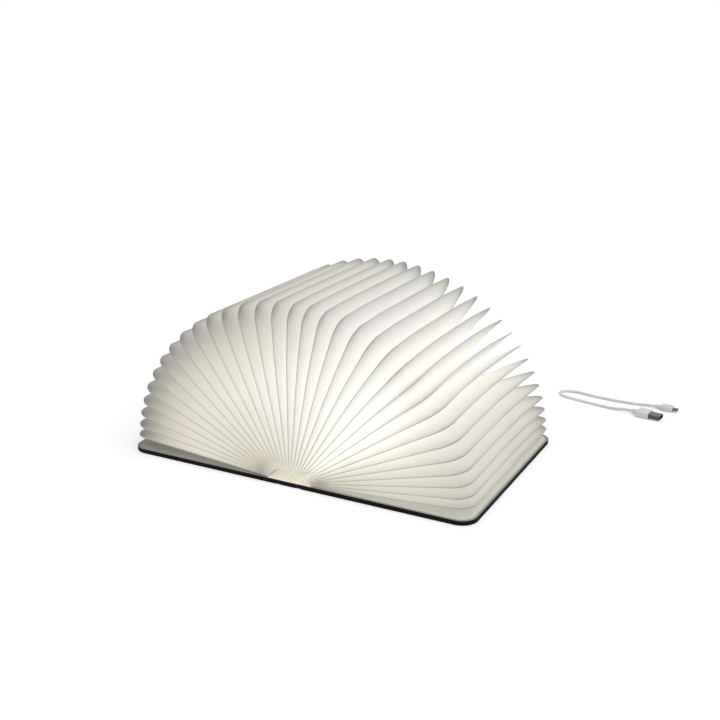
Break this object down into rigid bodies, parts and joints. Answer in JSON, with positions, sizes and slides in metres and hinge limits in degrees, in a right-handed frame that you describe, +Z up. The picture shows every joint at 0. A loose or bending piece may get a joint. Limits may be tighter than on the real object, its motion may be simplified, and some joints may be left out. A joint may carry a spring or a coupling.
{
  "type": "book lamp",
  "caption": "Folding lamp in the form of a book: hinged covers and a bellows of translucent paper leaves round a light bar on the spine, with a loose charging cable.",
  "frame": {"origin": "centre of the underside of the spine, midway between the covers and the two ends, on the table that the lamp lies on", "axes": "+X towards the right cover, +Y along the spine to the end with the charging socket, +Z up out of the opened fan"},
  "size_m": [0.4632, 0.3677, 0.173],
  "materials": {
    "cover_skin": "fine-grained matt leatherette",
    "cover_board": "stiff greyboard",
    "lining": "matt white paper",
    "page_paper": "translucent non-woven paper, lit from inside",
    "hinge_cloth": "black book cloth",
    "magnet": "nickel plated",
    "bar_plastic": "moulded white",
    "diffuser": "opal white",
    "screw_steel": "zinc plated",
    "circuit_board": "solder-masked laminate",
    "led_chip": "phosphor filled",
    "cell_wrap": "foil pouch",
    "reed_glass": "clear",
    "connector_metal": "bright nickel",
    "plug_plastic": "moulded pale grey-white",
    "tongue_plastic": "moulded white",
    "cable_jacket": "smooth pale grey-white PVC"
  },
  "bodies": {
    "spine": {"bar_base": "bar_plastic", "bar_diffuser": "diffuser", "bar_end_caps": "bar_plastic", "bar_screws": "screw_steel", "battery": "cell_wrap", "charge_board": "circuit_board", "charge_cable": "cable_jacket", "hinge_cloth": "hinge_cloth", "led_board": "circuit_board", "led_chips": "led_chip", "micro_usb_grip": "plug_plastic", "micro_usb_shell": "connector_metal", "reed_switch": "reed_glass", "spine_board": "cover_board", "spine_skin": "cover_skin", "usb_a_grip": "plug_plastic", "usb_a_shell": "connector_metal", "usb_a_tongue": "tongue_plastic", "usb_socket": "connector_metal", "page_18": "page_paper"},
    "right_cover": {"right_cover_skin": "cover_skin", "right_cover_board": "cover_board", "right_cover_lining": "lining", "right_cover_magnets": "magnet"},
    "left_cover": {"left_cover_skin": "cover_skin", "left_cover_board": "cover_board", "left_cover_lining": "lining", "left_cover_magnets": "magnet"},
    "page_01_body": {"page_01": "page_paper"},
    "page_02_body": {"page_02": "page_paper"},
    "page_03_body": {"page_03": "page_paper"},
    "page_04_body": {"page_04": "page_paper"},
    "page_05_body": {"page_05": "page_paper"},
    "page_06_body": {"page_06": "page_paper"},
    "page_07_body": {"page_07": "page_paper"},
    "page_08_body": {"page_08": "page_paper"},
    "page_09_body": {"page_09": "page_paper"},
    "page_10_body": {"page_10": "page_paper"},
    "page_11_body": {"page_11": "page_paper"},
    "page_12_body": {"page_12": "page_paper"},
    "page_13_body": {"page_13": "page_paper"},
    "page_14_body": {"page_14": "page_paper"},
    "page_15_body": {"page_15": "page_paper"},
    "page_16_body": {"page_16": "page_paper"},
    "page_17_body": {"page_17": "page_paper"},
    "page_19_body": {"page_19": "page_paper"},
    "page_20_body": {"page_20": "page_paper"},
    "page_21_body": {"page_21": "page_paper"},
    "page_22_body": {"page_22": "page_paper"},
    "page_23_body": {"page_23": "page_paper"},
    "page_24_body": {"page_24": "page_paper"},
    "page_25_body": {"page_25": "page_paper"},
    "page_26_body": {"page_26": "page_paper"},
    "page_27_body": {"page_27": "page_paper"},
    "page_28_body": {"page_28": "page_paper"},
    "page_29_body": {"page_29": "page_paper"},
    "page_30_body": {"page_30": "page_paper"},
    "page_31_body": {"page_31": "page_paper"},
    "page_32_body": {"page_32": "page_paper"},
    "page_33_body": {"page_33": "page_paper"}
  },
  "joints": [
    {"name": "right_cover_hinge", "type": "hinge", "parent": "spine", "child": "right_cover", "pos_m": [0.012, 0, 0.0005], "axis": [0, -1, 0], "range_deg": [-93, 90], "deforming": ["hinge_cloth", "page_18"]},
    {"name": "left_cover_hinge", "type": "hinge", "parent": "spine", "child": "left_cover", "pos_m": [-0.012, 0, 0.0005], "axis": [0, 1, 0], "range_deg": [-93, 90]},
    {"name": "page_01_fold", "type": "hinge", "parent": "spine", "child": "page_01_body", "pos_m": [0.012, 0, 0.0005], "axis": [0, -1, 0], "range_deg": [-89.29, 86.41], "deforming": ["page_01"]},
    {"name": "page_02_fold", "type": "hinge", "parent": "spine", "child": "page_02_body", "pos_m": [0.012, 0, 0.0005], "axis": [0, -1, 0], "range_deg": [-85.83, 83.07], "deforming": ["page_02"]},
    {"name": "page_03_fold", "type": "hinge", "parent": "spine", "child": "page_03_body", "pos_m": [0.012, 0, 0.0005], "axis": [0, -1, 0], "range_deg": [-81.91, 79.27], "deforming": ["page_03"]},
    {"name": "page_04_fold", "type": "hinge", "parent": "spine", "child": "page_04_body", "pos_m": [0.012, 0, 0.0005], "axis": [0, -1, 0], "range_deg": [-77.59, 75.09], "deforming": ["page_04"]},
    {"name": "page_05_fold", "type": "hinge", "parent": "spine", "child": "page_05_body", "pos_m": [0.012, 0, 0.0005], "axis": [0, -1, 0], "range_deg": [-72.92, 70.56], "deforming": ["page_05"]},
    {"name": "page_06_fold", "type": "hinge", "parent": "spine", "child": "page_06_body", "pos_m": [0.012, 0, 0.0005], "axis": [0, -1, 0], "range_deg": [-67.92, 65.73], "deforming": ["page_06"]},
    {"name": "page_07_fold", "type": "hinge", "parent": "spine", "child": "page_07_body", "pos_m": [0.012, 0, 0.0005], "axis": [0, -1, 0], "range_deg": [-62.66, 60.64], "deforming": ["page_07"]},
    {"name": "page_08_fold", "type": "hinge", "parent": "spine", "child": "page_08_body", "pos_m": [0.012, 0, 0.0005], "axis": [0, -1, 0], "range_deg": [-57.17, 55.33], "deforming": ["page_08"]},
    {"name": "page_09_fold", "type": "hinge", "parent": "spine", "child": "page_09_body", "pos_m": [0.012, 0, 0.0005], "axis": [0, -1, 0], "range_deg": [-51.51, 49.85], "deforming": ["page_09"]},
    {"name": "page_10_fold", "type": "hinge", "parent": "spine", "child": "page_10_body", "pos_m": [0.012, 0, 0.0005], "axis": [0, -1, 0], "range_deg": [-45.7, 44.23], "deforming": ["page_10"]},
    {"name": "page_11_fold", "type": "hinge", "parent": "spine", "child": "page_11_body", "pos_m": [0.012, 0, 0.0005], "axis": [0, -1, 0], "range_deg": [-39.83, 38.54], "deforming": ["page_11"]},
    {"name": "page_12_fold", "type": "hinge", "parent": "spine", "child": "page_12_body", "pos_m": [0.012, 0, 0.0005], "axis": [0, -1, 0], "range_deg": [-33.9, 32.81], "deforming": ["page_12"]},
    {"name": "page_13_fold", "type": "hinge", "parent": "spine", "child": "page_13_body", "pos_m": [0.012, 0, 0.0005], "axis": [0, -1, 0], "range_deg": [-27.99, 27.09], "deforming": ["page_13"]},
    {"name": "page_14_fold", "type": "hinge", "parent": "spine", "child": "page_14_body", "pos_m": [0.012, 0, 0.0005], "axis": [0, -1, 0], "range_deg": [-22.11, 21.4], "deforming": ["page_14"]},
    {"name": "page_15_fold", "type": "hinge", "parent": "spine", "child": "page_15_body", "pos_m": [0.012, 0, 0.0005], "axis": [0, -1, 0], "range_deg": [-16.34, 15.82], "deforming": ["page_15"]},
    {"name": "page_16_fold", "type": "hinge", "parent": "spine", "child": "page_16_body", "pos_m": [0.012, 0, 0.0005], "axis": [0, -1, 0], "range_deg": [-10.71, 10.36], "deforming": ["page_16"]},
    {"name": "page_17_fold", "type": "hinge", "parent": "spine", "child": "page_17_body", "pos_m": [0.012, 0, 0.0005], "axis": [0, -1, 0], "range_deg": [-5.27, 5.1], "deforming": ["page_17"]},
    {"name": "page_19_fold", "type": "hinge", "parent": "spine", "child": "page_19_body", "pos_m": [-0.012, 0, 0.0005], "axis": [0, 1, 0], "range_deg": [-5.92, 5.73], "deforming": ["page_19"]},
    {"name": "page_20_fold", "type": "hinge", "parent": "spine", "child": "page_20_body", "pos_m": [-0.012, 0, 0.0005], "axis": [0, 1, 0], "range_deg": [-12.07, 11.69], "deforming": ["page_20"]},
    {"name": "page_21_fold", "type": "hinge", "parent": "spine", "child": "page_21_body", "pos_m": [-0.012, 0, 0.0005], "axis": [0, 1, 0], "range_deg": [-18.45, 17.86], "deforming": ["page_21"]},
    {"name": "page_22_fold", "type": "hinge", "parent": "spine", "child": "page_22_body", "pos_m": [-0.012, 0, 0.0005], "axis": [0, 1, 0], "range_deg": [-24.98, 24.18], "deforming": ["page_22"]},
    {"name": "page_23_fold", "type": "hinge", "parent": "spine", "child": "page_23_body", "pos_m": [-0.012, 0, 0.0005], "axis": [0, 1, 0], "range_deg": [-31.61, 30.6], "deforming": ["page_23"]},
    {"name": "page_24_fold", "type": "hinge", "parent": "spine", "child": "page_24_body", "pos_m": [-0.012, 0, 0.0005], "axis": [0, 1, 0], "range_deg": [-38.26, 37.03], "deforming": ["page_24"]},
    {"name": "page_25_fold", "type": "hinge", "parent": "spine", "child": "page_25_body", "pos_m": [-0.012, 0, 0.0005], "axis": [0, 1, 0], "range_deg": [-44.88, 43.44], "deforming": ["page_25"]},
    {"name": "page_26_fold", "type": "hinge", "parent": "spine", "child": "page_26_body", "pos_m": [-0.012, 0, 0.0005], "axis": [0, 1, 0], "range_deg": [-51.4, 49.74], "deforming": ["page_26"]},
    {"name": "page_27_fold", "type": "hinge", "parent": "spine", "child": "page_27_body", "pos_m": [-0.012, 0, 0.0005], "axis": [0, 1, 0], "range_deg": [-57.75, 55.89], "deforming": ["page_27"]},
    {"name": "page_28_fold", "type": "hinge", "parent": "spine", "child": "page_28_body", "pos_m": [-0.012, 0, 0.0005], "axis": [0, 1, 0], "range_deg": [-63.87, 61.81], "deforming": ["page_28"]},
    {"name": "page_29_fold", "type": "hinge", "parent": "spine", "child": "page_29_body", "pos_m": [-0.012, 0, 0.0005], "axis": [0, 1, 0], "range_deg": [-69.7, 67.45], "deforming": ["page_29"]},
    {"name": "page_30_fold", "type": "hinge", "parent": "spine", "child": "page_30_body", "pos_m": [-0.012, 0, 0.0005], "axis": [0, 1, 0], "range_deg": [-75.17, 72.74], "deforming": ["page_30"]},
    {"name": "page_31_fold", "type": "hinge", "parent": "spine", "child": "page_31_body", "pos_m": [-0.012, 0, 0.0005], "axis": [0, 1, 0], "range_deg": [-80.21, 77.62], "deforming": ["page_31"]},
    {"name": "page_32_fold", "type": "hinge", "parent": "spine", "child": "page_32_body", "pos_m": [-0.012, 0, 0.0005], "axis": [0, 1, 0], "range_deg": [-84.76, 82.03], "deforming": ["page_32"]},
    {"name": "page_33_fold", "type": "hinge", "parent": "spine", "child": "page_33_body", "pos_m": [-0.012, 0, 0.0005], "axis": [0, 1, 0], "range_deg": [-88.77, 85.91], "deforming": ["page_33"]}
  ],
  "couplings": [
    {"joint": "page_01_fold", "follows": "right_cover_hinge", "ratio": 0.9596},
    {"joint": "page_02_fold", "follows": "right_cover_hinge", "ratio": 0.9224},
    {"joint": "page_03_fold", "follows": "right_cover_hinge", "ratio": 0.8802},
    {"joint": "page_04_fold", "follows": "right_cover_hinge", "ratio": 0.8338},
    {"joint": "page_05_fold", "follows": "right_cover_hinge", "ratio": 0.7835},
    {"joint": "page_06_fold", "follows": "right_cover_hinge", "ratio": 0.7298},
    {"joint": "page_07_fold", "follows": "right_cover_hinge", "ratio": 0.6732},
    {"joint": "page_08_fold", "follows": "right_cover_hinge", "ratio": 0.6142},
    {"joint": "page_09_fold", "follows": "right_cover_hinge", "ratio": 0.5533},
    {"joint": "page_10_fold", "follows": "right_cover_hinge", "ratio": 0.4909},
    {"joint": "page_11_fold", "follows": "right_cover_hinge", "ratio": 0.4277},
    {"joint": "page_12_fold", "follows": "right_cover_hinge", "ratio": 0.364},
    {"joint": "page_13_fold", "follows": "right_cover_hinge", "ratio": 0.3004},
    {"joint": "page_14_fold", "follows": "right_cover_hinge", "ratio": 0.2372},
    {"joint": "page_15_fold", "follows": "right_cover_hinge", "ratio": 0.1752},
    {"joint": "page_16_fold", "follows": "right_cover_hinge", "ratio": 0.1146},
    {"joint": "page_17_fold", "follows": "right_cover_hinge", "ratio": 0.0561},
    {"joint": "page_19_fold", "follows": "left_cover_hinge", "ratio": 0.0631},
    {"joint": "page_20_fold", "follows": "left_cover_hinge", "ratio": 0.1293},
    {"joint": "page_21_fold", "follows": "left_cover_hinge", "ratio": 0.1979},
    {"joint": "page_22_fold", "follows": "left_cover_hinge", "ratio": 0.2681},
    {"joint": "page_23_fold", "follows": "left_cover_hinge", "ratio": 0.3394},
    {"joint": "page_24_fold", "follows": "left_cover_hinge", "ratio": 0.4109},
    {"joint": "page_25_fold", "follows": "left_cover_hinge", "ratio": 0.4821},
    {"joint": "page_26_fold", "follows": "left_cover_hinge", "ratio": 0.5521},
    {"joint": "page_27_fold", "follows": "left_cover_hinge", "ratio": 0.6204},
    {"joint": "page_28_fold", "follows": "left_cover_hinge", "ratio": 0.6862},
    {"joint": "page_29_fold", "follows": "left_cover_hinge", "ratio": 0.7489},
    {"joint": "page_30_fold", "follows": "left_cover_hinge", "ratio": 0.8077},
    {"joint": "page_31_fold", "follows": "left_cover_hinge", "ratio": 0.8619},
    {"joint": "page_32_fold", "follows": "left_cover_hinge", "ratio": 0.9109},
    {"joint": "page_33_fold", "follows": "left_cover_hinge", "ratio": 0.954}
  ]
}
